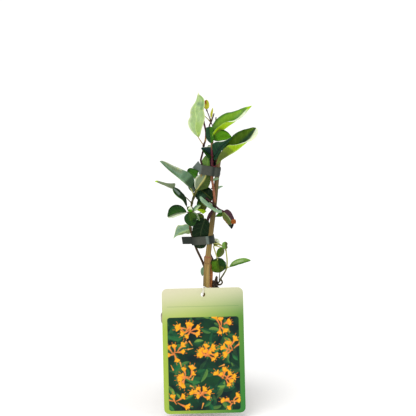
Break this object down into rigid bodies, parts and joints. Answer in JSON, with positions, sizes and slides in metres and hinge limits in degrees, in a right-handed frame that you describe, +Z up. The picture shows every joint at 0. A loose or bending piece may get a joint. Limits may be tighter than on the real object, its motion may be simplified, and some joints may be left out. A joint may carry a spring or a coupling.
{
  "type": "potted climbing vine",
  "caption": "Young honeysuckle vine in a nursery pot, twined round a bamboo cane and held by tapes, with a plant label tied to the cane.",
  "frame": {"origin": "centre of the pot's flat underside", "axes": "+Z up along the vine, -Y towards the front with the label, +X to the label's right as seen from the front"},
  "size_m": [0.1106, 0.1132, 0.356],
  "materials": {
    "pot_plastic": "matt taupe",
    "potting_soil": "damp, crumbly",
    "bamboo": "dry, satin",
    "bark": "rough, peeling",
    "foliage": "waxy leaf",
    "tying_tape": "translucent film",
    "label_card": "printed card",
    "tie_cord": "white cord"
  },
  "bodies": {
    "root": {"pot": "pot_plastic", "soil": "potting_soil", "bamboo_cane": "bamboo", "woody_stump": "bark", "leading_shoot": "foliage", "left_shoot": "foliage", "low_shoot": "foliage", "upper_tape": "tying_tape", "lower_tape": "tying_tape", "label": "label_card", "label_tie": "tie_cord"}
  },
  "joints": []
}
